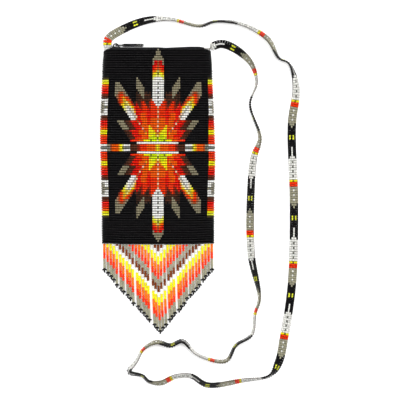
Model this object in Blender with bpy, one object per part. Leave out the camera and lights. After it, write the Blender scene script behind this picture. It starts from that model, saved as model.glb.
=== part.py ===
"""Beaded phone pouch, lying on its back with the fringe and the strap spread out.

Metres, +Z up. The pouch lies along Y: the zip is at +Y, the fringe at -Y. The origin is on the surface
that it lies on, below the middle of the pouch, counted from the bail of the slider to the longest fringe.
"""
import math

import bmesh
import bpy
from mathutils import Matrix, Vector

# Beads and cloth
BEAD_DIAMETER = 0.0021
BEAD_LENGTH = 0.00148         # along the thread, with its share of the gap
ROW_GAP = 0.00005
CLEARANCE = 0.0003
SURFACE_GAP = 0.00005         # below what lies on the table

# Sleeve of loomed beads
BEAD_ROWS = 82
TOP_WIDTH = 0.0974
MIDDLE_WIDTH = 0.1026
BOTTOM_WIDTH = 0.1017
THICKNESS = 0.012
SEAM_THICKNESS = 0.0058
SEAM_HEIGHT = 0.0043
TAPER_LENGTH = 0.030
SIDE_ROUND = 0.006
SIDE_STEPS = 5
CREST_LENGTH = 0.00105        # flat part of each bead row
GROOVE_DEPTH = 0.0009
CORNER_DROP = 0.0035          # the top corners sink towards the sides
CORNER_FADE = 0.020
SLEEVE_RING_SPACING = 0.006   # of the smooth inner walls

# Lining
LINING_WALL = 0.0005
LINING_RISE = 0.012           # above the bottom of the sleeve

# Zip
TAPE_WALL = 0.0006
TAPE_LEG = 0.009              # sewn part inside the sleeve
TAPE_SHOULDER = 0.0010        # fold of the tape above the middle of the coils
TAPE_END_INSET = 0.0002
ZIP_RISE = 0.0002             # middle of the coils above the top bead row
COIL_RADIUS = 0.00075
COIL_GAP = 0.0014             # between the two coils, where the neck of the slider runs
STOP_LENGTH = 0.001
STOP_HEIGHT = 0.0018

# Slider
SLIDER_LENGTH = 0.0080
PLATE_WIDTH = 0.0054
PLATE_WALL = 0.0008
PLATE_BEVEL = 0.0009
NECK_LENGTH = 0.0024
NECK_WIDTH = 0.0008
NECK_SINK = 0.0003            # the neck reaches this far into both plates
BAIL_RADIUS = 0.0024          # to the middle of the wire
BAIL_WIRE = 0.0005
BAIL_SINK = 0.0005
BAIL_STEPS = 10

# Pull tab
PIVOT_HEIGHT = 0.00105        # above the top plate
FORK_WIDTH = 0.0034
FORK_WALL = 0.0010
FORK_BEVEL = 0.0002
FORK_LENGTH = 0.0072
SLOT_REACH = 0.0036           # from the pivot to the end of the slot
TAB_LENGTH = 0.0250           # from the pivot
TAB_START = 0.0056
TAB_WIDTH = 0.0042
TAB_WALL = 0.0013
TAB_CORNER = 0.0014
TAB_TWIST = 35                # degrees: the tab hangs loose in its bail and leans over
TAB_HOLE_LENGTH = 0.0046
TAB_HOLE_WIDTH = 0.0021
TAB_HOLE_CORNER = 0.0008
TAB_HOLE_END = 0.0028         # from the hole to the end of the tab

# Fringe
FRINGE_MARGIN = 0.0020        # free width at both sides of the bottom edge
STRAND_GAP = 0.00075
STRAND_SIDES = 6
STRAND_SHARE = 0.95           # width of a strand against a bead
NECK_SHARE = 0.7              # where a strand narrows above its tip
LONGEST_BEADS = 52
BEADS_LESS_PER_STRAND = 2.18
PICOT_LENGTH = 0.0034
PICOT_WIDTH = 0.0030
PICOT_SHOULDER = 0.0005
FALL_LENGTH = 0.010           # from the seam down to the table
COMMON_SWAY = 0.0024
OWN_SWAY = 0.00015
SWAY_TURN = 2.4               # radians from one strand to the next
STRAND_CLUMPS = (1, 4, 2, 3, 5, 4, 1, 3, 4, 2, 2, 3, 1)   # strands that lie together, left to right
CLUMP_PITCH = 0.00256         # from strand to strand in a clump
CLUMP_START = 0.004           # along a strand, where it begins to lean to its clump
CLUMP_END = 0.034

# Strap: a flat band, five beads wide
STRAP_BEADS = 5
STRAP_SPACING = 0.0135
STRAP_CHAMFER = 0.0006
PIXEL = 0.0009                # real size of one pixel of the photograph
MIDDLE_PIXEL = (157.3, 188.7)
# Middle line of the strap in pixels, and how far the band leans over, in degrees: 0 lies flat.
STRAP_ROUTE = [
    (107.2, 46.7, 0), (108, 39, 0), (121.5, 29.7, 5), (146, 20.3, 30), (170, 18.9, 70),
    (200, 25.8, 75), (215, 21.3, 78), (243, 24.4, 70), (268.5, 39.4, 60), (279, 58, 80),
    (289, 63.3, 85), (296.2, 87, 35), (292, 125, 0), (294.2, 205, 0), (292, 285, 0),
    (284, 339, 0), (279, 362, 15), (270, 375.6, 75), (243, 380.5, 65), (207, 385, 55),
    (191, 376, 60), (175, 376.8, 60), (160.5, 383.2, 60), (148.5, 381.5, 75), (142.5, 375.8, 75),
    (129, 372, 65), (136.5, 361, 75), (143.5, 349.2, 80), (156.5, 342.2, 68), (170.5, 345.7, 70),
    (182, 341.2, 72), (198, 355, 80), (226, 361, 75), (236, 345.5, 80), (252, 334.5, 80),
    (255.3, 313, 80), (259.5, 299, 80), (251.3, 254, 45), (251, 190, 45), (254, 157, 50),
    (260, 138, 75), (250, 104, 88), (256.6, 82.5, 80), (251, 63, 62), (234, 48, 20),
    (221, 43.6, 0), (210.9, 46.8, 0),
]

# Colour, roughness and metallic of each material
FINISHES = {
    "black_beads": ((0.02, 0.018, 0.02), 0.35, 0.0),
    "fringe_beads": ((0.75, 0.22, 0.05), 0.30, 0.0),
    "strap_beads": ((0.45, 0.43, 0.38), 0.35, 0.0),
    "lining_cloth": ((0.03, 0.03, 0.032), 0.90, 0.0),
    "zip_tape": ((0.02, 0.02, 0.022), 0.85, 0.0),
    "zip_coil": ((0.03, 0.03, 0.03), 0.40, 0.0),
    "slider_metal": ((0.05, 0.05, 0.055), 0.30, 1.0),
    "tab_metal": ((0.03, 0.03, 0.032), 0.30, 1.0),
}

# Worked out from the sizes above
ROW_PITCH = BEAD_DIAMETER + ROW_GAP
SLEEVE_HEIGHT = BEAD_ROWS * ROW_PITCH
SLEEVE_WALL = BEAD_DIAMETER
LINING_INSET = SLEEVE_WALL + CLEARANCE
COIL_TOP = COIL_RADIUS + CLEARANCE + PLATE_WALL
BAIL_TOP = ZIP_RISE + COIL_TOP + BAIL_RADIUS + BAIL_WIRE
LONGEST_STRAND = LONGEST_BEADS * BEAD_LENGTH + PICOT_LENGTH
SLEEVE_TOP = (CLEARANCE + LONGEST_STRAND + SLEEVE_HEIGHT - BAIL_TOP) / 2
SLEEVE_BOTTOM = SLEEVE_TOP - SLEEVE_HEIGHT
ZIP_MIDDLE = THICKNESS / 2
COIL_LINE = SLEEVE_TOP + ZIP_RISE
TAPE_HALF_LENGTH = TOP_WIDTH / 2 - SIDE_ROUND - TAPE_END_INSET
COIL_HALF_LENGTH = TAPE_HALF_LENGTH - STOP_LENGTH - CLEARANCE
SLIDER_X = -(COIL_HALF_LENGTH - SLIDER_LENGTH / 2)
PIVOT = Vector((SLIDER_X, COIL_LINE + COIL_TOP + PIVOT_HEIGHT, ZIP_MIDDLE))
STRAND_RADIUS = BEAD_DIAMETER / 2 * STRAND_SHARE
STRAND_PITCH = BEAD_DIAMETER + STRAND_GAP
STRANDS_PER_SIDE = int((BOTTOM_WIDTH / 2 - FRINGE_MARGIN) / STRAND_PITCH)


def smooth_step(share):
    share = min(max(share, 0.0), 1.0)
    return share * share * (3 - 2 * share)


def new_collection(name):
    collection = bpy.data.collections.new(name)
    bpy.context.scene.collection.children.link(collection)
    return collection


def make_material(name):
    colour, roughness, metallic = FINISHES[name]
    material = bpy.data.materials.new(name)
    material.use_nodes = True
    shader = material.node_tree.nodes["Principled BSDF"]
    shader.inputs["Base Color"].default_value = (*colour, 1.0)
    shader.inputs["Roughness"].default_value = roughness
    shader.inputs["Metallic"].default_value = metallic
    return material


def add_part(name, mesh, material, parent=None, at=(0, 0, 0)):
    """Named object for one piece, in the collection of the pouch."""
    part = bpy.data.objects.new(name, mesh)
    part.location = at
    part.parent = parent
    mesh.materials.append(material)
    parts.objects.link(part)
    return part


def add_guide(name, data, parent=None, at=(0, 0, 0)):
    """Cutter, joined shape or profile: it isn't a piece of the pouch."""
    guide = bpy.data.objects.new(name, data)
    guide.location = at
    guide.parent = parent
    guide.hide_render = True
    guide.display_type = "WIRE"
    guides.objects.link(guide)
    return guide


def boolean(part, guide, operation):
    modifier = part.modifiers.new(guide.name, "BOOLEAN")
    modifier.operation = operation
    modifier.solver = "EXACT"
    modifier.object = guide


def loft(name, rings):
    """Closed mesh through rings of as many points each, capped at the first and the last."""
    mesh = bpy.data.meshes.new(name)
    bm = bmesh.new()
    loops = [[bm.verts.new(point) for point in ring] for ring in rings]
    for lower, upper in zip(loops, loops[1:]):
        for i in range(len(lower)):
            j = (i + 1) % len(lower)
            bm.faces.new((lower[i], lower[j], upper[j], upper[i]))
    bm.faces.new(loops[0])
    bm.faces.new(loops[-1])
    bmesh.ops.recalc_face_normals(bm, faces=bm.faces)
    bm.to_mesh(mesh)
    bm.free()
    return mesh


def box_mesh(name, size, bevel=0.0, edge_axis=None):
    """Box about its middle. Its edges along edge_axis, or all of them, are rounded."""
    mesh = bpy.data.meshes.new(name)
    bm = bmesh.new()
    bmesh.ops.create_cube(bm, size=1.0)
    bmesh.ops.scale(bm, vec=size, verts=bm.verts)
    if bevel:
        edges = [e for e in bm.edges if edge_axis is None or is_along(e, edge_axis)]
        bmesh.ops.bevel(bm, geom=edges, offset=bevel, segments=2, profile=0.5, affect="EDGES")
    bm.to_mesh(mesh)
    bm.free()
    return mesh


def is_along(edge, axis):
    run = edge.verts[1].co - edge.verts[0].co
    return abs(run[axis]) > 0.99 * run.length


# Shape of the flat tube of beads

def width_at(y):
    share = (y - SLEEVE_BOTTOM) / SLEEVE_HEIGHT
    if share < 0.5:
        return BOTTOM_WIDTH + (MIDDLE_WIDTH - BOTTOM_WIDTH) * smooth_step(share / 0.5)
    return MIDDLE_WIDTH + (TOP_WIDTH - MIDDLE_WIDTH) * smooth_step((share - 0.5) / 0.5)


def thickness_at(y):
    share = (y - SLEEVE_BOTTOM) / TAPER_LENGTH
    return SEAM_THICKNESS + (THICKNESS - SEAM_THICKNESS) * smooth_step(share)


def corner_drop(x, y):
    side = max(abs(x) - (width_at(y) / 2 - SIDE_ROUND), 0.0) / SIDE_ROUND
    near_top = min(max(1 - (SLEEVE_TOP - y) / CORNER_FADE, 0.0), 1.0)
    return CORNER_DROP * side ** 2 * near_top ** 2


def pouch_ring(y, inset):
    """Outline across the pouch: flat back on the table, flat front and half-round sides."""
    half_width = width_at(y) / 2 - SIDE_ROUND
    half_height = thickness_at(y) / 2
    ring = []
    for side in (1, -1):
        for step in range(SIDE_STEPS + 1):
            angle = side * (-math.pi / 2 + math.pi * step / SIDE_STEPS)
            x = side * (half_width + (SIDE_ROUND - inset) * math.cos(angle))
            z = half_height + (half_height - inset) * math.sin(angle)
            ring.append(Vector((x, y - corner_drop(x, y), z)))
    return ring


def wall_rings(low, high, inset):
    count = max(2, math.ceil((high - low) / SLEEVE_RING_SPACING))
    return [pouch_ring(low + (high - low) * i / count, inset) for i in range(count + 1)]


def make_sleeve():
    outer = []
    shoulder = (ROW_PITCH - CREST_LENGTH) / 2
    for row in range(BEAD_ROWS):
        y = SLEEVE_BOTTOM + row * ROW_PITCH
        outer.append(pouch_ring(y, GROOVE_DEPTH))
        outer.append(pouch_ring(y + shoulder, 0))
        outer.append(pouch_ring(y + shoulder + CREST_LENGTH, 0))
    outer.append(pouch_ring(SLEEVE_TOP, GROOVE_DEPTH))
    inner = wall_rings(SLEEVE_BOTTOM + SEAM_HEIGHT, SLEEVE_TOP, SLEEVE_WALL)
    mesh = loft("bead_sleeve", outer + inner[::-1])
    return add_part("bead_sleeve", mesh, make_material("black_beads"))


def make_lining():
    low = SLEEVE_BOTTOM + LINING_RISE
    high = SLEEVE_TOP - TAPE_LEG - CLEARANCE
    outer = wall_rings(low, high, LINING_INSET)
    inner = wall_rings(low + LINING_WALL, high, LINING_INSET + LINING_WALL)
    mesh = loft("lining", outer + inner[::-1])
    return add_part("lining", mesh, make_material("lining_cloth"))


# Zip along the top edge

def make_tape(name, side, material):
    """Folded tape: one leg inside the sleeve, its shoulder above the beads, and a web to the coil."""
    wall = ZIP_MIDDLE - LINING_INSET
    web_end = COIL_GAP / 2 + 2 * COIL_RADIUS + CLEARANCE
    leg_low = SLEEVE_TOP - TAPE_LEG
    shoulder = COIL_LINE + TAPE_SHOULDER
    web_low = COIL_LINE - TAPE_WALL / 2
    web_high = COIL_LINE + TAPE_WALL / 2
    outline = [(leg_low, wall), (shoulder, wall), (shoulder, wall - TAPE_WALL), (web_high, wall - TAPE_WALL),
               (web_high, web_end), (web_low, web_end), (web_low, wall - TAPE_WALL), (leg_low, wall - TAPE_WALL)]
    rings = [[Vector((x, y, ZIP_MIDDLE + side * z)) for y, z in outline]
             for x in (-TAPE_HALF_LENGTH, TAPE_HALF_LENGTH)]
    return add_part(name, loft(name, rings), material)


def make_coil(name, side, material):
    mesh = bpy.data.meshes.new(name)
    bm = bmesh.new()
    bmesh.ops.create_cone(bm, cap_ends=True, segments=8, radius1=COIL_RADIUS, radius2=COIL_RADIUS,
                          depth=2 * COIL_HALF_LENGTH)
    bmesh.ops.rotate(bm, verts=bm.verts, matrix=Matrix.Rotation(math.pi / 2, 3, "Y"))
    bm.to_mesh(mesh)
    bm.free()
    z = ZIP_MIDDLE + side * (COIL_GAP / 2 + COIL_RADIUS)
    return add_part(name, mesh, material, at=(0, COIL_LINE, z))


def make_stop(name, x, z_low, z_high, material):
    size = (STOP_LENGTH, STOP_HEIGHT, z_high - z_low)
    mesh = box_mesh(name, size)
    return add_part(name, mesh, material, at=(x, COIL_LINE, ZIP_MIDDLE + (z_low + z_high) / 2))


def make_zip():
    tape_material = make_material("zip_tape")
    coil_material = make_material("zip_coil")
    metal = make_material("slider_metal")
    for name, side in (("front", 1), ("back", -1)):
        make_tape("zipper_tape_" + name, side, tape_material)
        make_coil("zipper_coil_" + name, side, coil_material)
    reach = COIL_GAP / 2 + 2 * COIL_RADIUS
    x = COIL_HALF_LENGTH + CLEARANCE + STOP_LENGTH / 2
    make_stop("top_stop_front", -x, COIL_GAP / 2, reach, metal)
    make_stop("top_stop_back", -x, -reach, -COIL_GAP / 2, metal)
    make_stop("bottom_stop", x, -reach, reach, metal)
    return metal


def make_slider(metal):
    """Slider about the middle of the coils: two plates, the neck between them and the bail."""
    at = (SLIDER_X, COIL_LINE, ZIP_MIDDLE)
    plate_y = COIL_TOP - PLATE_WALL / 2
    plate_size = (SLIDER_LENGTH, PLATE_WALL, PLATE_WIDTH)
    mesh = box_mesh("slider", plate_size, PLATE_BEVEL, edge_axis=1)
    mesh.transform(Matrix.Translation((0, plate_y, 0)))
    slider = add_part("slider", mesh, metal, at=at)

    lower = box_mesh("slider_lower_plate", plate_size, PLATE_BEVEL, edge_axis=1)
    boolean(slider, add_guide("slider_lower_plate", lower, at=(at[0], at[1] - plate_y, at[2])), "UNION")

    neck_height = 2 * (COIL_TOP - PLATE_WALL + NECK_SINK)
    neck = box_mesh("slider_neck", (NECK_LENGTH, neck_height, NECK_WIDTH))
    neck_x = at[0] - SLIDER_LENGTH / 2 + CLEARANCE + NECK_LENGTH / 2
    boolean(slider, add_guide("slider_neck", neck, at=(neck_x, at[1], at[2])), "UNION")

    bail = add_guide("slider_bail", bail_mesh(), at=(at[0], at[1] + COIL_TOP, at[2]))
    boolean(slider, bail, "UNION")
    return slider


def bail_mesh():
    """Arch of wire over the top plate, its feet sunk into the plate."""
    curve = bpy.data.curves.new("bail_wire", "CURVE")
    curve.dimensions = "3D"
    curve.bevel_depth = BAIL_WIRE
    curve.bevel_resolution = 1
    curve.use_fill_caps = True
    points = [(-BAIL_RADIUS, -BAIL_SINK)]
    for step in range(BAIL_STEPS + 1):
        angle = math.pi * (1 - step / BAIL_STEPS)
        points.append((BAIL_RADIUS * math.cos(angle), BAIL_RADIUS * math.sin(angle)))
    points.append((BAIL_RADIUS, -BAIL_SINK))
    spline = curve.splines.new("POLY")
    spline.points.add(len(points) - 1)
    for point, (x, y) in zip(spline.points, points):
        point.co = (x, y, 0, 1)
    wire = bpy.data.objects.new("bail_wire", curve)
    guides.objects.link(wire)
    depsgraph = bpy.context.evaluated_depsgraph_get()
    mesh = bpy.data.meshes.new_from_object(wire.evaluated_get(depsgraph))
    bpy.data.objects.remove(wire)
    bm = bmesh.new()
    bm.from_mesh(mesh)
    bmesh.ops.remove_doubles(bm, verts=bm.verts, dist=0.00001)
    bmesh.ops.recalc_face_normals(bm, faces=bm.faces)
    bm.to_mesh(mesh)
    bm.free()
    return mesh


def make_pull_tab():
    """Tab on its pivot below the bail: a fork with a slot for the bail, and a twisted plate with a hole."""
    pivot = bpy.data.objects.new("pull_pivot", None)
    pivot.location = PIVOT
    guides.objects.link(pivot)
    rod_half = FORK_WALL / 2
    mesh = box_mesh("pull_tab", (FORK_LENGTH + rod_half, FORK_WALL, FORK_WIDTH), FORK_BEVEL)
    mesh.transform(Matrix.Translation(((FORK_LENGTH - rod_half) / 2, 0, 0)))
    tab = add_part("pull_tab", mesh, make_material("tab_metal"), parent=pivot)

    slot_width = 2 * (BAIL_WIRE + CLEARANCE + FORK_BEVEL / 2)
    slot = box_mesh("tab_slot", (SLOT_REACH - rod_half, 2 * FORK_WALL, slot_width))
    boolean(tab, add_guide("tab_slot", slot, pivot, ((SLOT_REACH + rod_half) / 2, 0, 0)), "DIFFERENCE")

    plate_length = TAB_LENGTH - TAB_START
    twist = Matrix.Rotation(math.radians(TAB_TWIST), 4, "X")
    plate = box_mesh("tab_plate", (plate_length, TAB_WALL, TAB_WIDTH), TAB_CORNER, edge_axis=1)
    plate.transform(twist)
    boolean(tab, add_guide("tab_plate", plate, pivot, (TAB_START + plate_length / 2, 0, 0)), "UNION")

    hole = box_mesh("tab_hole", (TAB_HOLE_LENGTH, 2 * TAB_WALL, TAB_HOLE_WIDTH), TAB_HOLE_CORNER, edge_axis=1)
    hole.transform(twist)
    hole_x = TAB_LENGTH - TAB_HOLE_END - TAB_HOLE_LENGTH / 2
    boolean(tab, add_guide("tab_hole", hole, pivot, (hole_x, 0, 0)), "DIFFERENCE")
    return tab


# Fringe along the bottom seam

def strand_ring(x, y, z, half_x, half_z):
    angles = [2 * math.pi * i / STRAND_SIDES for i in range(STRAND_SIDES)]
    return [Vector((x + half_x * math.cos(a), y, z + half_z * math.sin(a))) for a in angles]


def from_clump_middle(side_number):
    """Strands between this one and the middle of its clump."""
    first = -(sum(STRAND_CLUMPS) - 1) // 2
    for size in STRAND_CLUMPS:
        if first <= side_number < first + size:
            return side_number - first - (size - 1) / 2
        first += size
    return 0.0


def make_strand(number, side_number, material):
    beads = LONGEST_BEADS - round(BEADS_LESS_PER_STRAND * abs(side_number))
    straight = beads * BEAD_LENGTH
    length = straight + PICOT_LENGTH
    picot = PICOT_WIDTH / 2
    profile = [(0, STRAND_RADIUS), (FALL_LENGTH / 2, STRAND_RADIUS), (FALL_LENGTH, STRAND_RADIUS),
               ((FALL_LENGTH + straight) / 2, STRAND_RADIUS), (straight, STRAND_RADIUS * NECK_SHARE),
               (straight + PICOT_SHOULDER, picot), (length - PICOT_SHOULDER, picot), (length, picot / 2)]
    table_z = STRAND_RADIUS * math.cos(math.pi / STRAND_SIDES) + SURFACE_GAP
    seam_z = SEAM_THICKNESS / 2
    rings = []
    for along, half_x in profile:
        share = along / LONGEST_STRAND
        sway = COMMON_SWAY * share ** 2 + OWN_SWAY * share * math.sin(SWAY_TURN * side_number)
        drawn = smooth_step((along - CLUMP_START) / (CLUMP_END - CLUMP_START))
        x = side_number * STRAND_PITCH + sway
        x -= drawn * from_clump_middle(side_number) * (STRAND_PITCH - CLUMP_PITCH)
        y = SLEEVE_BOTTOM - CLEARANCE - along
        z = table_z + (seam_z - table_z) * (1 - smooth_step(along / FALL_LENGTH))
        rings.append(strand_ring(x, y, z, half_x, min(half_x, STRAND_RADIUS)))
    name = "fringe_strand_{:02d}".format(number)
    return add_part(name, loft(name, rings), material)


def make_fringe():
    material = make_material("fringe_beads")
    for number, side_number in enumerate(range(-STRANDS_PER_SIDE, STRANDS_PER_SIDE + 1), start=1):
        make_strand(number, side_number, material)


# Strap

def smooth_route(points, steps=24):
    """Centripetal curve through the points, with the first and the last one mirrored outwards."""
    first = points[0] * 2 - points[1]
    last = points[-1] * 2 - points[-2]
    ends = [first] + points + [last]
    curve = []
    for i in range(1, len(ends) - 2):
        p0, p1, p2, p3 = ends[i - 1:i + 3]
        t1 = (p1 - p0).xy.length ** 0.5
        t2 = t1 + (p2 - p1).xy.length ** 0.5
        t3 = t2 + (p3 - p2).xy.length ** 0.5
        for step in range(steps):
            t = t1 + (t2 - t1) * step / steps
            a1 = p0.lerp(p1, t / t1)
            a2 = p1.lerp(p2, (t - t1) / (t2 - t1))
            a3 = p2.lerp(p3, (t - t2) / (t3 - t2))
            b1 = a1.lerp(a2, t / t2)
            b2 = a2.lerp(a3, (t - t1) / (t3 - t1))
            curve.append(b1.lerp(b2, (t - t1) / (t2 - t1)))
    curve.append(points[-1])
    return curve


def evenly_spaced(curve, spacing):
    lengths = [0.0]
    for a, b in zip(curve, curve[1:]):
        lengths.append(lengths[-1] + (b - a).xy.length)
    count = round(lengths[-1] / spacing)
    even = []
    i = 0
    for step in range(count + 1):
        target = lengths[-1] * step / count
        while i < len(lengths) - 2 and lengths[i + 1] < target:
            i += 1
        share = (target - lengths[i]) / (lengths[i + 1] - lengths[i])
        even.append(curve[i].lerp(curve[i + 1], share))
    return even


def make_strap():
    """Flat band along its route. The lower edge stays on the table where the band leans over."""
    half_width = STRAP_BEADS * BEAD_LENGTH / 2
    half_wall = BEAD_DIAMETER / 2
    section = bpy.data.curves.new("strap_section", "CURVE")
    section.dimensions = "2D"
    outline = section.splines.new("POLY")
    corners = [(half_width, half_wall - STRAP_CHAMFER), (half_width - STRAP_CHAMFER, half_wall)]
    corners += [(-x, y) for x, y in corners[::-1]]
    corners += [(-x, -y) for x, y in corners]
    outline.points.add(len(corners) - 1)
    for point, (x, y) in zip(outline.points, corners[::-1]):
        point.co = (x, y, 0, 1)
    outline.use_cyclic_u = True

    route = [Vector(((x - MIDDLE_PIXEL[0]) * PIXEL, (MIDDLE_PIXEL[1] - y) * PIXEL, math.radians(lean)))
             for x, y, lean in STRAP_ROUTE]
    band = bpy.data.curves.new("strap", "CURVE")
    band.dimensions = "3D"
    band.twist_mode = "Z_UP"
    band.bevel_mode = "OBJECT"
    band.bevel_object = add_guide("strap_section", section)
    band.use_fill_caps = True
    points = evenly_spaced(smooth_route(route), STRAP_SPACING)
    spline = band.splines.new("POLY")
    spline.points.add(len(points) - 1)
    for point, (x, y, lean) in zip(spline.points, points):
        z = SURFACE_GAP + half_width * abs(math.sin(lean)) + half_wall * abs(math.cos(lean))
        point.co = (x, y, z, 1)
        point.tilt = lean
    return add_part("strap", band, make_material("strap_beads"))


for old in list(bpy.data.objects):
    bpy.data.objects.remove(old, do_unlink=True)
parts = new_collection("phone_pouch")
guides = new_collection("guides")
make_sleeve()
make_lining()
make_slider(make_zip())
make_pull_tab()
make_fringe()
make_strap()
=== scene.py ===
import math
import bmesh
import bpy
import numpy as np
from mathutils import Matrix, Vector, noise


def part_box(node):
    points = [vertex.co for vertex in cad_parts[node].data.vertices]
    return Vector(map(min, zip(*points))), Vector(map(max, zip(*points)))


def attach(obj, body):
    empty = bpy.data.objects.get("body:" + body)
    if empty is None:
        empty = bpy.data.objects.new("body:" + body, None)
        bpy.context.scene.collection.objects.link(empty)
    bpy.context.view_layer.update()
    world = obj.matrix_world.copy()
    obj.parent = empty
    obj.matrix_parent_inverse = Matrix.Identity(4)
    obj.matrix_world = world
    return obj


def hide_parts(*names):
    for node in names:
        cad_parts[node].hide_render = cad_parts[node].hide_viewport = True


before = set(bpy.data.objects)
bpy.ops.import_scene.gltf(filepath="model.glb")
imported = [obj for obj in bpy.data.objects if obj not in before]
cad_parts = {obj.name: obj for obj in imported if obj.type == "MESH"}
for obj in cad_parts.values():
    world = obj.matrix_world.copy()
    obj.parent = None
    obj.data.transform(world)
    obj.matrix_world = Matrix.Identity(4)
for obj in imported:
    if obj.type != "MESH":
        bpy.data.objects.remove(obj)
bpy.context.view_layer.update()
dice = np.random.RandomState(11)
print("frame loaded:", len(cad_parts), "nodes")

photo = {"pixel": 0.0009, "middlePixel": (157.3, 188.7)}     # metres a pixel, and the pixel over the origin

# Bead colours, as they look under plain light, 0 to 255
beadTints = {
    "black": (7, 6, 8), "grey": (147, 140, 114), "stone": (160, 157, 134), "silver": (170, 167, 142),
    "shade": (122, 124, 114), "pearl": (180, 177, 164), "brown": (124, 58, 12), "olive": (122, 122, 24),
    "darkOlive": (64, 57, 28), "darkBrown": (84, 45, 27), "peat": (60, 38, 26), "rust": (120, 42, 20),
    "brick": (168, 38, 14), "copper": (180, 86, 44), "tan": (168, 116, 86), "amber": (222, 114, 58),
    "red": (240, 26, 4), "deepRed": (216, 12, 8), "orangeRed": (252, 56, 4), "orange": (255, 96, 4),
    "tangerine": (255, 122, 10), "gold": (244, 176, 24), "yellow": (255, 238, 10), "lime": (208, 232, 8),
    "lemon": (240, 244, 60), "paleYellow": (252, 244, 140), "mustard": (204, 188, 62), "khaki": (206, 200, 112),
    "white": (250, 250, 244), "cream": (252, 238, 204), "peach": (255, 210, 174),
}

seedBead = {
    "diameter": 0.0021, "length": 0.00148, "rounding": 0.0003, "ior": 1.5, "specular": 0.17, "brightest": 0.95,
    # Painted shade at the holes of a bead and beside its neighbours: its darker tone, and where it starts on the
    # bead
    "shadow": (0.16, 0.13, 0.12), "paintedRimShadeFrom": 0.42, "paintedGrooveShadeFrom": 0.8,
}

sleeve = {
    "rows": 82, "columns": 144, "middleRow": 40, "groups": 4,
    "beadSides": 6, "rowPitch": 0.00215, "beadShare": 0.965,
    "topWidth": 0.0974, "middleWidth": 0.1026, "bottomWidth": 0.1017,
    "thickness": 0.012, "seamThickness": 0.0058, "taper": 0.030, "sideRound": 0.006, "sideSteps": 24,
    "cornerDrop": 0.0035, "cornerFade": 0.020,
    # Width beyond the frame's sleeve: the height where it starts at either end, and the length it grows over
    "bulge": 0.0015, "bulgeHigh": (0.1250, 0.016), "bulgeLow": (-0.012, 0.045),
    "lean": 0.00065, "leanFrom": 0.054, "leanOver": 0.030,                        # lower half, to the right
    "lift": 0.0007, "liftFrom": 0.030, "liftOver": 0.016, "liftReach": 0.045,     # bottom corners, upwards
    # Drift of the pattern sideways and outwards, in beads, and the rows where it comes in
    "driftUp": 0.65, "driftDown": 0.05, "driftRows": 14,
    "spreadUp": 0.35, "spreadDown": -0.3, "spreadFrom": (6, 18),
    "waviness": 0.00016, "waveTurns": (60, 0.35, 60), "edgeWaves": 0.0035, "edgeTurns": (0.55, 7),
    # Spreads of size, tilt and tone; the painted shade at the holes of a bead, the axis towards the next rows, and
    # the painted shade beside them
    "sizeSpread": 0.03, "tiltSpread": 0.05, "toneSpread": 0.07, "rim": 0.42, "paintedGrooveShadeAxis": 0, "paintedGrooveShade": 0.62,
    "roughness": 0.24,
}
sleeve["top"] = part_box("bead_sleeve")[1][1]
sleeve["bottom"] = sleeve["top"] - sleeve["rows"] * sleeve["rowPitch"]


# Light of a colour that is given as a screen shows it, 0 to 255
def linear(colour):
    return [c / 3294.6 if c <= 10.3 else ((c / 255 + 0.055) / 1.055) ** 2.4 for c in colour]


def smoothStep(share):
    share = min(max(share, 0.0), 1.0)
    return share * share * (3 - 2 * share)


# Pieces and materials

def meshFrom(bm, name):
    mesh = bpy.data.meshes.new(name)
    bm.to_mesh(mesh)
    bm.free()
    return mesh


def addPiece(name, mesh, material):
    piece = bpy.data.objects.new(name, mesh)
    bpy.context.scene.collection.objects.link(piece)
    mesh.materials.append(material)
    return piece


def newMaterial(name):
    material = bpy.data.materials.new(name)
    material.use_nodes = True
    return material, material.node_tree.nodes, material.node_tree.links


def fill(node, values):
    for socket, value in values.items():
        node.inputs[socket].default_value = value
    return node


def addNode(nodes, kind, values=None, **settings):
    node = nodes.new("ShaderNode" + kind)
    for setting, value in settings.items():
        setattr(node, setting, value)
    return fill(node, values or {})


def twoTones(nodes, first, second):
    return addNode(nodes, "Mix", data_type="RGBA", values={"A": (*first, 1), "B": (*second, 1)})


def beadGlass(name, roughness):
    material, nodes, links = newMaterial(name)
    shader = fill(nodes["Principled BSDF"], {"Roughness": roughness, "IOR": seedBead["ior"],
                                             "Specular IOR Level": seedBead["specular"]})
    # The base colour is darkened towards the shadow tone by each bead's painted shade
    colour = addNode(nodes, "Attribute", attribute_name="beadColour")
    rim = addNode(nodes, "Attribute", attribute_name="beadPaintedShade")
    paintedShade = addNode(nodes, "Mix", data_type="RGBA", blend_type="MULTIPLY", values={"B": (*seedBead["shadow"], 1)})
    links.new(rim.outputs["Fac"], paintedShade.inputs["Factor"])
    links.new(colour.outputs["Color"], paintedShade.inputs["A"])
    links.new(paintedShade.outputs["Result"], shader.inputs["Base Color"])
    return material


cotton = {"darker": 0.7, "lighter": 1.3, "fineness": 4000.0, "roughness": 0.8, "specular": 0.0}
weave = {"darker": 0.7, "lighter": 1.4, "fineness": 2500.0, "specular": 0.25, "waves": 0.314,
         "bumpStrength": 0.5, "bumpDepth": 0.3}


# Fibres of two tones of one colour, on Object coordinates
def fibreTones(name, colour, looks, roughness):
    material, nodes, links = newMaterial(name)
    shader = fill(nodes["Principled BSDF"], {"Roughness": roughness, "Specular IOR Level": looks["specular"]})
    place = addNode(nodes, "TexCoord")
    fibre = addNode(nodes, "TexNoise", {"Scale": looks["fineness"], "Detail": 2.0})
    tones = twoTones(nodes, *[[c * looks[tone] for c in linear(colour)] for tone in ("darker", "lighter")])
    links.new(place.outputs["Object"], fibre.inputs["Vector"])
    links.new(fibre.outputs["Fac"], tones.inputs["Factor"])
    links.new(tones.outputs["Result"], shader.inputs["Base Color"])
    return material, nodes, links, place, shader


def threadCotton(name, colour):
    return fibreTones(name, colour, cotton, cotton["roughness"])[0]


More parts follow.
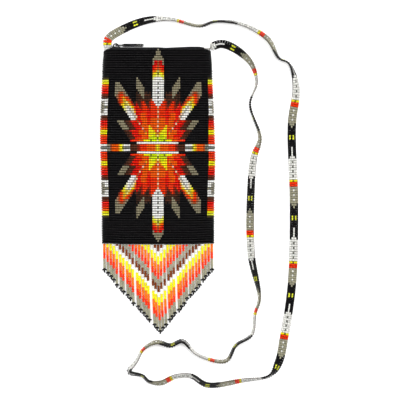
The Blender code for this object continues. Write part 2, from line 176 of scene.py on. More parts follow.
# Cloth with crossed ribs, one to each pitch
def wovenCloth(name, colour, pitch, roughness):
    material, nodes, links, place, shader = fibreTones(name, colour, weave, roughness)
    height = addNode(nodes, "Math", operation="MULTIPLY")
    for index, direction in enumerate(("X", "Y")):
        wave = addNode(nodes, "TexWave", {"Scale": weave["waves"] / pitch}, bands_direction=direction)
        links.new(place.outputs["Object"], wave.inputs["Vector"])
        links.new(wave.outputs["Fac"], height.inputs[index])
    bump = addNode(nodes, "Bump", {"Strength": weave["bumpStrength"], "Distance": pitch * weave["bumpDepth"]})
    links.new(height.outputs[0], bump.inputs["Height"])
    links.new(bump.outputs["Normal"], shader.inputs["Normal"])
    return material


# Beads: one barrel of glass, copied to every place of a bead

def barrel(sides, girth=1):
    bm = bmesh.new()
    radius, length = seedBead["diameter"] * girth / 2, seedBead["length"]
    bmesh.ops.create_cone(bm, cap_ends=True, segments=sides, radius1=radius, radius2=radius, depth=length)
    rims = [e for e in bm.edges if abs(e.verts[0].co.z - e.verts[1].co.z) < seedBead["rounding"]]
    bmesh.ops.bevel(bm, geom=rims, offset=seedBead["rounding"], segments=1, profile=0.5, affect="EDGES",
                    material=-1)
    return meshFrom(bm, "barrel")


# Place of a bead in its cell of the UV map, a cell to each bead: the ends left and right, the wall between
bakeCell = {"endAt": (0.07, 0.93), "endScale": (20, 200), "endNormal": 0.9, "wallHalf": (0.36, 0.42)}


def cornerMap(template):
    corners = []
    for face in template.polygons:
        turn = math.atan2(face.center.y, face.center.x)
        for index in face.vertices:
            point = template.vertices[index].co
            if abs(face.normal.z) > bakeCell["endNormal"]:
                side = bakeCell["endAt"][face.center.z >= 0]
                corners.append((side + bakeCell["endScale"][0] * point.x, 0.5 + bakeCell["endScale"][1] * point.y))
                continue
            angle = math.atan2(point.y, point.x)
            angle = turn + (angle - turn + math.pi) % (2 * math.pi) - math.pi
            corners.append((0.5 + bakeCell["wallHalf"][0] * point.z / (seedBead["length"] / 2),
                            0.5 + angle / math.pi * bakeCell["wallHalf"][1]))
    return np.array(corners)


# Points of every bead, a little tilted and uneven in size. A bead is its centre, its axis, the side that
# is up, its stretch along the axis, its girth and the name of its colour.
def beadPoints(flat, beads, looks):
    count = len(beads)
    centre, axis, up, stretch, girth = [np.array(values) for values in list(zip(*beads))[:-1]]
    tilt, spread = looks["tiltSpread"], looks["sizeSpread"]
    axis = axis + dice.normal(0, tilt, (count, 3)).clip(-2 * tilt, 2 * tilt)
    axis /= np.linalg.norm(axis, axis=1)[:, None]
    side = np.cross(up, axis)
    side /= np.linalg.norm(side, axis=1)[:, None]
    up = np.cross(axis, side)
    girth = girth * (1 + dice.normal(0, spread, count).clip(-2 * spread, spread))
    points = centre[:, None, :] + girth[:, None, None] * (
        up[:, None, :] * flat[None, :, 0:1] + side[:, None, :] * flat[None, :, 1:2])
    return points + stretch[:, None, None] * axis[:, None, :] * flat[None, :, 2:3]


# Mesh with a copy of the template at each row of points
def copiedMesh(name, template, points):
    count, size = points.shape[:2]
    starts = np.array([p.loop_start for p in template.polygons])
    totals = np.array([p.loop_total for p in template.polygons])
    corners = np.zeros(len(template.loops), dtype=int)
    template.loops.foreach_get("vertex_index", corners)
    step = np.arange(count)[:, None]
    mesh = bpy.data.meshes.new(name)
    mesh.vertices.add(count * size)
    mesh.vertices.foreach_set("co", points.ravel())
    mesh.loops.add(count * len(corners))
    mesh.loops.foreach_set("vertex_index", (corners[None, :] + step * size).ravel())
    mesh.polygons.add(count * len(starts))
    mesh.polygons.foreach_set("loop_start", (starts[None, :] + step * len(corners)).ravel())
    mesh.polygons.foreach_set("loop_total", np.tile(totals, count))
    mesh.update(calc_edges=True)
    mesh.shade_smooth()
    return mesh


def strewBeads(name, template, beads, looks, material):
    count = len(beads)
    flat = np.zeros(len(template.vertices) * 3)
    template.vertices.foreach_get("co", flat)
    flat = flat.reshape(-1, 3)
    mesh = copiedMesh(name, template, beadPoints(flat, beads, looks))
    tone = 1 + dice.normal(0, looks["toneSpread"], (count, 1))
    # A share of the piece, where it has one, darkens all its colours as painted shade
    colours = np.array([linear(beadTints[bead[-1]]) for bead in beads]) * tone * looks.get("depth", 1)
    rgba = np.ones((count, len(flat), 4))
    rgba[:, :, :3] = colours.clip(0, seedBead["brightest"])[:, None, :]
    mesh.attributes.new("beadColour", "FLOAT_COLOR", "POINT").data.foreach_set("color", rgba.ravel())
    # Painted shade at the holes of every bead, and beside its neighbours across the axis that is given
    rim = looks["rim"] * (np.abs(flat[:, 2]) > seedBead["paintedRimShadeFrom"] * seedBead["length"])
    if "paintedGrooveShadeAxis" in looks:
        beside = np.abs(flat[:, looks["paintedGrooveShadeAxis"]]) / np.abs(flat[:, :2]).max()
        rim = np.maximum(rim, looks["paintedGrooveShade"] * (beside > seedBead["paintedGrooveShadeFrom"]))
    mesh.attributes.new("beadPaintedShade", "FLOAT", "POINT").data.foreach_set("value", np.tile(rim, count))
    cells = math.ceil(math.sqrt(count))
    cell = np.stack([np.arange(count) % cells, np.arange(count) // cells], 1)[:, None, :]
    mesh.uv_layers.new(name="OFBake").data.foreach_set("uv", ((cell + cornerMap(template)) / cells).ravel())
    mesh.validate()
    return addPiece(name, mesh, material)


# Threads and wires

def tubeMesh(name, paths, radius, sides=4):
    curve = bpy.data.curves.new(name, "CURVE")
    curve.dimensions = "3D"
    curve.bevel_depth = radius
    curve.bevel_resolution = sides // 2 - 2
    curve.use_fill_caps = True
    for path in paths:
        spline = curve.splines.new("POLY")
        spline.points.add(len(path) - 1)
        for point, place in zip(spline.points, path):
            point.co = (*place, 1)
    wire = bpy.data.objects.new(name, curve)
    bpy.context.scene.collection.objects.link(wire)
    mesh = bpy.data.meshes.new_from_object(wire.evaluated_get(bpy.context.evaluated_depsgraph_get()))
    bpy.data.objects.remove(wire)
    bpy.data.curves.remove(curve)
    bm = bmesh.new()
    bm.from_mesh(mesh)
    bmesh.ops.remove_doubles(bm, verts=bm.verts, dist=radius * 0.02)
    bmesh.ops.recalc_face_normals(bm, faces=bm.faces)
    bm.to_mesh(mesh)
    bm.free()
    mesh.materials.clear()
    mesh.name = name
    return mesh


def addThread(name, material, paths, radius, colour):
    return addPiece(name, tubeMesh(name, paths, radius), threadCotton(material, colour))


# Outline of the pouch: the frame's sleeve, with its bulge, its lean and its lifted corners

def widthAt(y):
    share = (y - sleeve["bottom"]) / (sleeve["top"] - sleeve["bottom"])
    low, middle, high = sleeve["bottomWidth"], sleeve["middleWidth"], sleeve["topWidth"]
    (highEnd, highOver), (lowEnd, lowOver) = sleeve["bulgeHigh"], sleeve["bulgeLow"]
    bulge = sleeve["bulge"] * smoothStep((highEnd - y) / highOver) * smoothStep((y - lowEnd) / lowOver)
    if share < 0.5:
        return low + (middle - low) * smoothStep(share / 0.5) + bulge
    return middle + (high - middle) * smoothStep((share - 0.5) / 0.5) + bulge


def sideLean(y):
    return sleeve["lean"] * smoothStep((sleeve["leanFrom"] - y) / sleeve["leanOver"])


def cornerLift(x, y):
    nearBottom = smoothStep(1 - (y - sleeve["bottom"]) / sleeve["liftReach"])
    return sleeve["lift"] * nearBottom * smoothStep((abs(x) - sleeve["liftFrom"]) / sleeve["liftOver"])


def thicknessAt(y):
    share = (y - sleeve["bottom"]) / sleeve["taper"]
    return sleeve["seamThickness"] + (sleeve["thickness"] - sleeve["seamThickness"]) * smoothStep(share)


def cornerDrop(x, y):
    side = max(abs(x) - (widthAt(y) / 2 - sleeve["sideRound"]), 0.0) / sleeve["sideRound"]
    nearTop = min(max(1 - (sleeve["top"] - y) / sleeve["cornerFade"], 0.0), 1.0)
    return sleeve["cornerDrop"] * side ** 2 * nearTop ** 2


# Even places round the pouch at one height, from the middle of the front on, and the step between them
def ringPlaces(y, inset, count, start, spread=0.0):
    halfWidth = widthAt(y) / 2 - sleeve["sideRound"]
    middle = thicknessAt(y) / 2
    across = sleeve["sideRound"] - inset
    upward = middle - inset
    turns = sleeve["sideSteps"]
    outline = [Vector((0, y, middle + upward)), Vector((halfWidth, y, middle + upward))]
    for side in (1, -1):
        for step in range(turns + 1):
            angle = side * math.pi / 2 - math.pi * step / turns
            outline.append(Vector((side * halfWidth + across * math.cos(angle), y,
                                   middle + upward * math.sin(angle))))
    outline.append(Vector((0, y, middle + upward)))
    lengths = np.cumsum([0.0] + [(b - a).length for a, b in zip(outline, outline[1:])])
    steps = np.arange(count)
    wanted = ((steps + start + spread * np.sin(2 * np.pi * steps / count)) / count % 1.0) * lengths[-1]
    points = [Vector(np.array([np.interp(w, lengths, [p[k] for p in outline]) for k in range(3)])) for w in wanted]
    return points, lengths[-1] / count


# Pattern of the sleeve: fields and simple figures, mirrored left to right and top to bottom

# Rows and columns are counted from the middle bead of the star
def verticalFeather(row, column, lower):
    half = min(39 - row if lower else (42 - row) // 2 + (row < 38), 3, row - 17)
    if half < 0 or column > half or row < 18:
        return None
    if row >= 37 - lower:
        return "grey"
    if row >= 33:
        if column == 0:
            return "copper"
        if row >= 35:
            return "grey" if column == 3 else "deepRed"
        if row + column > 35:
            return "red"
        return "orange" if (row, column) == (33, 1) else "orangeRed"
    if row == 32:
        return ("khaki", "gold", "orange", "orange")[column]
    if row == 31:
        return ("olive", "lemon", "yellow", "gold")[column]
    if row == 30:
        return ("khaki", "paleYellow", "lemon", "lemon")[column]
    if row == 29:
        return "paleYellow" if column == 3 else "white"
    return "shade" if column == 0 and row % 2 else "white"


# Colours of a slanting feather from its outline to its heart
featherBands = ("grey", "tan", "copper", "orangeRed", "orange", "gold", "yellow", "paleYellow", "cream", "white")


def diagonalFeather(row, column):
    inner = column - max(row - 3, 14 - (row < 14))
    outer = min(row + 4, 26) - column
    if not 12 <= row <= 27 or inner < 0:
        return None
    if outer < 0:
        return "rust" if outer == -1 and 18 <= row <= 19 else None
    if inner == 0 and row in (12, 13, 14, 18, 19, 20):
        return "peach" if 13 <= row <= 14 else "amber" if row == 12 else "brick" if row < 20 else "copper"
    if row < 21 and row + 1 <= column <= row + 1 + (row == 18):
        return "pearl" if row < 18 else "mustard"
    if row >= 24:
        return "grey"
    fromInside = inner + 3 + (inner > 2 or row < 17 and inner > 0) + max(0, 18 - row - (inner == 0))
    if row > 19:
        fromInside = inner + (2 if row < 22 else 0)
    fromOutside = outer + 22 - row + (row < 19)
    return featherBands[min(max(min(fromInside, fromOutside), 0), len(featherBands) - 1)]


def smallFeathers(row, column):
    if 9 <= column <= 13 and 12 + column <= row <= 16 + column:
        return "grey"
    if 8 <= row <= 11 and row + 10 <= column <= row + 13:
        return "grey"
    return None


def dots(row, column):
    if column == 0 and 3 <= row <= 17:
        if row % 2:
            return "peach" if row > 5 else "paleYellow"
        return "amber" if row > 4 else "olive"
    if (column, row) in ((11, 10), (9, 8)):
        return "peach"
    if (column, row) in ((12, 11), (10, 9), (8, 7)):
        return "copper"
    return "gold" if (column, row) == (7, 6) else None


def crown(row, column):
    if row == 2 and column <= 12:
        return "white"
    if row == 3 and column <= 8:
        return "olive" if column == 4 else ("lime" if column < 6 else "yellow")
    if row == 4 and 1 <= column <= 5:
        return "mustard" if column == 5 else "lime"
    low = {9: 5, 8: 4, 7: 3, 6: 2, 5: 2}.get(row, 99)
    if column == low - 1 and row < 8:
        return "gold"
    return ("lime" if row == 5 and column < 4 else "yellow") if low <= column <= 5 else None


# Last column of the red field in the rows that aren't cut at column 13
fieldEdge = {3: 16, 4: 13, 5: 14, 6: 15, 7: 16, 8: 13, 9: 14, 10: 15, 11: 16, 12: 16}
fieldPeaks = (17, 18, 19, 19, 19, 15, 16, 17, 18, 19, 15, 16, 17, 18)      # last row of each column


def redField(row, column):
    edge = fieldEdge.get(row, 13)
    if row > 20 or row < 3 or column > edge:
        return None
    if column < len(fieldPeaks) and row > fieldPeaks[column]:
        if column in (5, 10) and row < 20:
            return "brick"
        return "rust" if row == fieldPeaks[column] + 1 and row < 20 else None
    if column == edge:
        return "deepRed" if row > 6 else "red"
    if 3 <= row <= 7 and 7 <= column <= (9 if row in (4, 5) else 11):
        return "orange"
    if 8 <= row <= 12 and 1 <= column <= 4:
        return "orange"
    if 8 <= row <= 14 and abs(column - 4.4 - row / 3) < 1.6:
        return "orange"
    if 10 <= column <= 14 and 5 <= row <= 16 or column in (5, 6) and row >= 12:
        return "red"
    return "orangeRed"


# Colours along a band, each with the last column or row that has it
middleSteps = ((0, "yellow"), (1, "gold"), (6, "orange"), (10, "orangeRed"), (11, "brick"), (12, "rust"),
               (16, "darkBrown"), (20, "white"), (21, "paleYellow"), (22, "yellow"), (23, "gold"),
               (27, "orange"), (28, "copper"), (30, "grey"), (35, "white"))
sideSteps = ((0, "shade"), (1, "white"), (4, "orangeRed"), (5, "orange"), (7, "yellow"), (8, "orange"),
             (9, "orangeRed"), (11, "red"), (12, "rust"), (13, "darkBrown"), (20, "white"), (21, "darkBrown"),
             (22, "rust"), (24, "red"), (25, "orangeRed"), (26, "orange"), (27, "yellow"), (28, "lemon"),
             (29, "darkOlive"))


def stepColour(steps, place):
    return next(colour for limit, colour in steps if place <= limit)


def middleBand(row, column):
    if row > 1 or column > 35:
        return None
    colour = stepColour(middleSteps, column)
    if row == 0:
        return {"white": "shade", "grey": "shade", "paleYellow": "olive"}.get(colour, colour)
    return colour


def sideBand(row, column):
    if not 31 <= column <= 41 or row > 29:
        return None
    if 15 <= row <= 19 and column >= (31 if row == 17 else 33):
        return "pearl" if column == 33 and row != 17 else ("shade" if (row + column) % 2 else "grey")
    return stepColour(sideSteps, row)


def halo(row, column):
    if (row, column) == (20, 4):
        return "copper"
    if 18 <= row <= 23 and 5 <= column <= 13 + (row < 20):
        return ("peat" if row % 2 or column > 11 else "darkBrown") if row < 23 else "peat" if column % 3 else None
    outside = column - fieldEdge.get(row, 99)
    if 4 <= row <= 11 and 0 < outside <= 4:
        return "rust" if outside == 1 and row % 2 else "darkBrown" if outside < 4 else "peat"
    return None


def patternColour(row, column):
    lower = row < 0
    row, column = abs(row), abs(column)
    if column > 42:
        column = 72 - column
    feather = verticalFeather(row, column, lower)
    if feather:
        return feather
    for figure in (sideBand, middleBand, dots, crown, diagonalFeather, smallFeathers, redField, halo):
        colour = figure(row, column)
        if colour:
            return colour
    return "black"


# Beads of the sleeve, row by row from the bottom

def sleeveRow(index):
    row = index - sleeve["middleRow"]
    y = sleeve["bottom"] + (index + 0.5) * sleeve["rowPitch"]
    first, last = sleeve["spreadFrom"]
    drift = sleeve["driftUp" if row > 0 else "driftDown"] * math.tanh(abs(row) / sleeve["driftRows"])
    spread = sleeve["spreadUp" if row > 0 else "spreadDown"] * smoothStep((abs(row) - first) / (last - first))
    ring, pitch = ringPlaces(y, seedBead["diameter"] / 2, sleeve["columns"], drift, spread)
    edgeTurn, edgeStart = sleeve["edgeTurns"]
    uneven = sleeve["edgeWaves"] * noise.noise((0, row * edgeTurn, edgeStart))
    turnX, turnRow, turnZ = sleeve["waveTurns"]
    stretch = pitch / seedBead["length"] * sleeve["beadShare"]
    beads = []
    for k, point in enumerate(ring):
        axis = (ring[(k + 1) % len(ring)] - ring[k - 1]).normalized()
        wave = sleeve["waviness"] * noise.noise((point.x * turnX, row * turnRow, point.z * turnZ))
        rise = wave - cornerDrop(point.x, y) + cornerLift(point.x, y)
        centre = point + Vector((point.x * uneven + sideLean(y), rise, 0))
        column = k if k <= len(ring) // 2 else k - len(ring)
        beads.append((centre, axis, Vector((0, 1, 0)), stretch, 1, patternColour(row, column)))
    return beads


def makeSleeve():
    template = barrel(sleeve["beadSides"])
    material = beadGlass("sleeveBeads", sleeve["roughness"])
    rowsEach = math.ceil(sleeve["rows"] / sleeve["groups"])
    for group in range(sleeve["groups"]):
        beads = []
        for index in range(group * rowsEach, min((group + 1) * rowsEach, sleeve["rows"])):
            beads += sleeveRow(index)
        piece = strewBeads("sleeveBeads{}".format(group + 1), template, beads, sleeve, material)
        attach(piece, "pouch")
        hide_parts("bead_sleeve")
        print(piece.name, len(beads), "beads,", len(piece.data.polygons), "faces")


makeSleeve()

# Threads of the sleeve, the net that the beads sit on, which is also a near-black sheet of painted shade in the
# gaps between the rows, and the lining inside it

threadAndShadeNet = {
    "inset": 0.00098, "wall": 0.0002, "merge": 0.00001, "around": 144, "bottomShut": 0.0006,
    # Its colour, at the end, is near-black, darker than thread: painted shade in the gaps between the rows
    "ends": (0.0003, 0.0008), "colour": (8, 7, 7),
}
lining = {
    "inset": 0.0023, "wall": 0.00025, "merge": 0.00001, "rise": 0.012, "belowTop": 0.0022, "rowGap": 0.0036,
    "around": 150, "shutLength": 0.010, "shutLeast": 0.04, "cornerStart": 0.0420, "cornerReach": 0.0024,
    "pinch": 0.94, "pinchLength": 0.0075, "crease": 0.10, "creaseTurns": (55, 90, 30),
    "colour": (20, 20, 22), "weave": 0.0006, "roughness": 0.9,
}


# Sheet that follows the pouch all round, drawn into shape by a function of its own
def ringSheet(name, heights, looks, shape):
    bm = bmesh.new()
    around = looks["around"]
    bmesh.ops.create_grid(bm, x_segments=around, y_segments=len(heights) - 1, size=0.5)
    rings = [ringPlaces(y, looks["inset"], around, 0)[0] for y in heights]
    for vertex in bm.verts:
        across = round((vertex.co.x + 0.5) * around) % around
        up = round((vertex.co.y + 0.5) * (len(heights) - 1))
        vertex.co = shape(rings[up][across])
    bmesh.ops.remove_doubles(bm, verts=bm.verts, dist=looks["merge"])
    bmesh.ops.recalc_face_normals(bm, faces=bm.faces)
    bmesh.ops.solidify(bm, geom=bm.faces, thickness=looks["wall"])
    bmesh.ops.recalc_face_normals(bm, faces=bm.faces)
    mesh = meshFrom(bm, name)
    mesh.shade_smooth()
    return mesh


# Point of an inner sheet, moved with the sleeve and set at its depth from the middle
def insidePlace(point, depth):
    rise = cornerLift(point.x, point.y) - cornerDrop(point.x, point.y)
    return Vector((point.x + sideLean(point.y), point.y + rise, thicknessAt(point.y) / 2 + depth))


def netPlace(point):
    shut = smoothStep((point.y - sleeve["bottom"]) / threadAndShadeNet["bottomShut"])
    return insidePlace(point, (point.z - thicknessAt(point.y) / 2) * shut)


def liningPlace(point):
    low = sleeve["bottom"] + lining["rise"]
    high = sleeve["top"] - lining["belowTop"]
    opened = lining["shutLeast"] + (1 - lining["shutLeast"]) * smoothStep((point.y - low) / lining["shutLength"])
    side = smoothStep((abs(point.x) - lining["cornerStart"]) / lining["cornerReach"])
    pinch = side * smoothStep(1 - (high - point.y) / lining["pinchLength"])
    turned = [turn * place for turn, place in zip(lining["creaseTurns"], point)]
    crease = lining["crease"] * (0.5 + 0.5 * noise.noise(turned))
    depth = (point.z - thicknessAt(point.y) / 2) * opened * (1 - lining["pinch"] * pinch)
    return insidePlace(point, depth * (1 - crease * (1 - side)))


def makeInside():
    low, high = sleeve["bottom"], sleeve["top"]
    nearEnd, nextToEnd = threadAndShadeNet["ends"]
    heights = [low + nearEnd, low + nextToEnd]
    heights += [low + sleeve["rowPitch"] * k for k in range(1, sleeve["rows"])] + [high - nextToEnd]
    threads = addPiece("sleeveThreadsAndShade", ringSheet("sleeveThreadsAndShade", heights, threadAndShadeNet, netPlace),
                       threadCotton("sleeveThreadAndShade", threadAndShadeNet["colour"]))
    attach(threads, "pouch")
    low = sleeve["bottom"] + lining["rise"]
    high = sleeve["top"] - lining["belowTop"]
    count = round((high - low) / lining["rowGap"])
    heights = [low + (high - low) * k / count for k in range(count + 1)]
    cloth = addPiece("liningCloth", ringSheet("liningCloth", heights, lining, liningPlace),
                     wovenCloth("liningWeave", lining["colour"], lining["weave"], lining["roughness"]))
    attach(cloth, "pouch")
    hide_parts("lining")
    print("threads and lining:", len(threads.data.polygons), "and", len(cloth.data.polygons), "faces")


makeInside()

# Fringe: one thread of beads to a strand, with a picot of three beads at its end

fringe = {
    "strandGap": 0.00075, "margin": 0.0020, "longest": 52, "fewerPerStrand": 2.18, "fall": 0.010,
    "commonSway": 0.0024, "ownSway": 0.00030, "swayTurn": 2.4, "clearance": 0.00005, "picotLength": 0.0034,
    "beadSides": 8, "beadShare": 0.97, "girth": 1.18, "surfaceGap": 0.00005,
    "picot": ((-0.0010, 0.0009, 30), (0.0010, 0.0009, -30), (0, 0.0026, 90)),
    # Neighbouring strands that fall together, and the stretch of their length over which they meet
    "clumps": (1, 4, 2, 3, 5, 4, 1, 3, 4, 2, 2, 3, 1), "clumpPitch": 0.00250,
    "clumpStart": 0.004, "clumpEnd": 0.034,
    # Beads of a strand from its tip up
    "tipGrey": 6, "cycle": (("orangeRed", 4), ("tangerine", 5), ("yellow", 5), ("white", 3), ("brown", 4),
                            ("stone", 4)),
    # Spreads of size, tilt and tone, the strength of the painted shade at the holes where a strand's beads meet,
    # and the roughness
    "sizeSpread": 0.03, "tiltSpread": 0.06, "toneSpread": 0.07, "rim": 0.3, "roughness": 0.22,
    "thread": 0.00018, "threadSteps": 12, "threadAbove": 0.003, "threadBelow": 0.0012,
    "threadColour": (60, 52, 46),
}


def fringeColour(fromTip):
    if fromTip < fringe["tipGrey"]:
        return "stone"
    place = (fromTip - fringe["tipGrey"]) % sum(count for _, count in fringe["cycle"])
    for colour, count in fringe["cycle"]:
        if place < count:
            return colour
        place -= count


def fromClumpMiddle(number):
    first = -(sum(fringe["clumps"]) - 1) // 2
    for size in fringe["clumps"]:
        if number < first + size:
            return number - first - (size - 1) / 2
        first += size


def strandPoint(number, along):
    straight = fringe["longest"] * seedBead["length"] + fringe["picotLength"]
    share = along / straight
    pitch = seedBead["diameter"] + fringe["strandGap"]
    high = sleeve["bottom"] - fringe["clearance"] + cornerLift(number * pitch, sleeve["bottom"])
    x = number * pitch + sideLean(sleeve["bottom"]) + fringe["commonSway"] * share ** 2
    x += fringe["ownSway"] * share * math.sin(fringe["swayTurn"] * number)
    drawn = smoothStep((along - fringe["clumpStart"]) / (fringe["clumpEnd"] - fringe["clumpStart"]))
    x -= drawn * fromClumpMiddle(number) * (pitch - fringe["clumpPitch"])
    table = seedBead["diameter"] / 2 * fringe["girth"] + fringe["surfaceGap"]
    z = table + (sleeve["seamThickness"] / 2 - table) * (1 - smoothStep(along / fringe["fall"]))
    return Vector((x, high - along, z))


def makeFringe():
    length = seedBead["length"]
    template = barrel(fringe["beadSides"], fringe["girth"])
    side = int((sleeve["bottomWidth"] / 2 - fringe["margin"]) / (seedBead["diameter"] + fringe["strandGap"]))
    up = Vector((0, 0, 1))
    beads, threads = [], []
    for number in range(-side, side + 1):
        count = fringe["longest"] - round(fringe["fewerPerStrand"] * abs(number))
        for bead in range(count):
            low, high = strandPoint(number, bead * length), strandPoint(number, (bead + 1) * length)
            beads.append(((low + high) / 2, (high - low).normalized(), up, fringe["beadShare"], 1,
                          fringeColour(count - 1 - bead)))
        tip = strandPoint(number, count * length)
        for across, below, turn in fringe["picot"]:
            axis = Vector((math.sin(math.radians(turn)), -math.cos(math.radians(turn)), 0))
            beads.append((tip + Vector((across, -below, 0)), axis, up, fringe["beadShare"], 1, "black"))
        steps = fringe["threadSteps"]
        threads.append([strandPoint(number, count * length * k / steps) for k in range(steps + 1)])
        threads[-1][0] += Vector((0, fringe["threadAbove"], 0))
        threads[-1].append(tip + Vector((0, -fringe["threadBelow"], 0)))
    piece = strewBeads("fringeBeads", template, beads, fringe, beadGlass("fringeGlass", fringe["roughness"]))
    thread = addThread("fringeThreads", "fringeThread", threads, fringe["thread"], fringe["threadColour"])
    for part in (piece, thread):
        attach(part, "pouch")
    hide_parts(*[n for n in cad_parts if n.startswith("fringe_strand")])
    print("fringe:", len(beads), "beads,", len(piece.data.polygons), "faces")


makeFringe()

# Strap: a band five beads wide, laid along its route

strap = {
    "beadsAcross": 5, "rowPitch": 0.00208, "beadSides": 8, "beadShare": 1.0, "girth": 1.05, "leastGirth": 0.96,
    "surfaceGap": 0.00005, "routeSteps": 24,
    # Spreads of size, tilt and tone; the painted shade at the holes of the beads, the axis towards the next rows,
    # and the painted shade beside them
    "sizeSpread": 0.03, "tiltSpread": 0.05, "toneSpread": 0.06, "rim": 0.6, "paintedGrooveShadeAxis": 1, "paintedGrooveShade": 0.7,
    # The first share darkens every colour of the strap: painted shade over the whole band
    "depth": 0.78, "roughness": 0.24, "thread": 0.00022, "threadShare": 0.97,
    "threadColour": (34, 30, 27), "stitchColour": (150, 146, 138),
    # Stitches at the top corners: where they enter the sleeve, their gap, and how they go over its edge
    "sewnAt": 0.0449, "sewnGap": 0.0008, "sewnFoot": (0.7, 0.0005, 0.0012), "sewnOver": 0.0006,
    "sewnEdge": 0.0001, "sewnEnd": (0.0012, 0.0002),
    "motifRows": 34, "markRow": 10.5,
    "orangeMarks": [                          # pixels of the photograph where the orange rows lie
        (108.3, 40.4), (182.5, 20.2), (262, 35), (293, 105), (294.3, 183.7), (294, 262.4), (283.9, 337),
        (237, 380.6), (168, 379), (143.2, 349.6), (213, 359), (255.2, 310.5), (251.3, 233.5), (256.4, 150),
        (254.5, 70.7),
    ],
    "route": [                                # its pixels, and the lean of the band in degrees from flat
        (107.2, 46.7, 0), (108, 39, 0), (121.5, 29.7, 5), (146, 20.3, 30), (170, 18.9, 70),
        (200, 25.8, 75), (215, 21.3, 78), (243, 24.4, 70), (268.5, 39.4, 60), (279, 58, 80),
        (289, 63.3, 85), (296.2, 87, 35), (292, 125, 0), (294.2, 205, 0), (292, 285, 0),
        (284, 339, 0), (279, 362, 15), (270, 375.6, 75), (243, 380.5, 65), (207, 385, 55),
        (191, 376, 60), (175, 376.8, 60), (160.5, 383.2, 60), (148.5, 381.5, 75), (142.5, 375.8, 75),
        (129, 372, 65), (136.5, 361, 75), (143.5, 349.2, 80), (156.5, 342.2, 68), (170.5, 345.7, 70),
        (182, 341.2, 72), (198, 355, 80), (226, 361, 75), (236, 345.5, 80), (252, 334.5, 80),
        (255.3, 313, 80), (259.5, 299, 80), (251.3, 254, 34), (251, 190, 32), (254, 157, 42),
        (260, 138, 75), (250, 104, 88), (256.6, 82.5, 80), (251, 63, 62), (234, 48, 20),
        (221, 43.6, 0), (210.9, 46.8, 0),
    ],
}


def smoothRoute(points, steps):
    ends = [points[0] * 2 - points[1]] + points + [points[-1] * 2 - points[-2]]
    curve = []
    for p0, p1, p2, p3 in zip(ends, ends[1:], ends[2:], ends[3:]):
        t1 = (p1 - p0).xy.length ** 0.5
        t2 = t1 + (p2 - p1).xy.length ** 0.5
        t3 = t2 + (p3 - p2).xy.length ** 0.5
        for step in range(steps):
            t = t1 + (t2 - t1) * step / steps
            a1 = p0.lerp(p1, t / t1)
            a2 = p1.lerp(p2, (t - t1) / (t2 - t1))
            a3 = p2.lerp(p3, (t - t2) / (t3 - t2))
            curve.append(a1.lerp(a2, t / t2).lerp(a2.lerp(a3, (t - t1) / (t3 - t1)), (t - t1) / (t2 - t1)))
    return curve + [points[-1]]


def strapPlace(x, y):
    return (x - photo["middlePixel"][0]) * photo["pixel"], (photo["middlePixel"][1] - y) * photo["pixel"]


# Numbers of the bead rows from end to end, their middles, their leans and their girths
def strapRows():
    route = [Vector((*strapPlace(x, y), math.radians(lean))) for x, y, lean in strap["route"]]
    curve = smoothRoute(route, strap["routeSteps"])
    lengths = np.cumsum([0.0] + [(b - a).xy.length for a, b in zip(curve, curve[1:])])
    x, y, lean = [np.array([p[k] for p in curve]) for k in range(3)]
    marks, first = [], 0
    for mark in strap["orangeMarks"]:
        markX, markY = strapPlace(*mark)
        far = np.hypot(x - markX, y - markY)
        far[:first] = 1
        first = int(np.argmin(far))
        marks.append(lengths[first])
        first += strap["routeSteps"]
    rows = strap["markRow"] + strap["motifRows"] * np.arange(len(marks))
    start = rows[0] - marks[0] / strap["rowPitch"]
    end = rows[-1] + (lengths[-1] - marks[-1]) / strap["rowPitch"]
    rows = np.concatenate([[start], rows, [end]])
    marks = np.concatenate([[0.0], marks, [lengths[-1]]])
    numbers = np.arange(math.ceil(start), math.floor(end) + 1)
    wanted = np.interp(numbers, rows, marks)
    pitch = np.interp(wanted, (marks[1:] + marks[:-1]) / 2, np.diff(marks) / np.diff(rows))
    girth = np.clip(pitch / strap["rowPitch"], strap["leastGirth"], 1)
    x, y, lean = [np.interp(wanted, lengths, values) for values in (x, y, lean)]
    halfWidth = strap["beadsAcross"] * seedBead["length"] / 2
    radius = seedBead["diameter"] / 2 * strap["girth"]
    z = strap["surfaceGap"] + halfWidth * np.abs(np.sin(lean)) + radius * np.abs(np.cos(lean))
    return numbers, [Vector(p) for p in zip(x, y, z)], lean, girth


def strapColour(row, column):
    row %= strap["motifRows"]
    middle, inner = column == 2, 1 <= column <= 3
    if row < 9:
        return "shade" if middle and row % 2 else "white"
    if row < 10:
        return "olive" if middle else "yellow"
    if row < 12:
        return "orangeRed"
    if row < 19:
        return "white" if middle and row in (13, 15, 17) else "silver"
    if row < 20:
        return "silver" if inner else "black"
    if row < 21:
        return "silver" if middle else "black"
    if row < 24:
        return "black"
    if row < 26:
        return "lemon" if column in (1, 3) else "black"
    if row < 29:
        return "black"
    if row < 33:
        return "white" if middle else "black"
    return "white" if inner else "black"


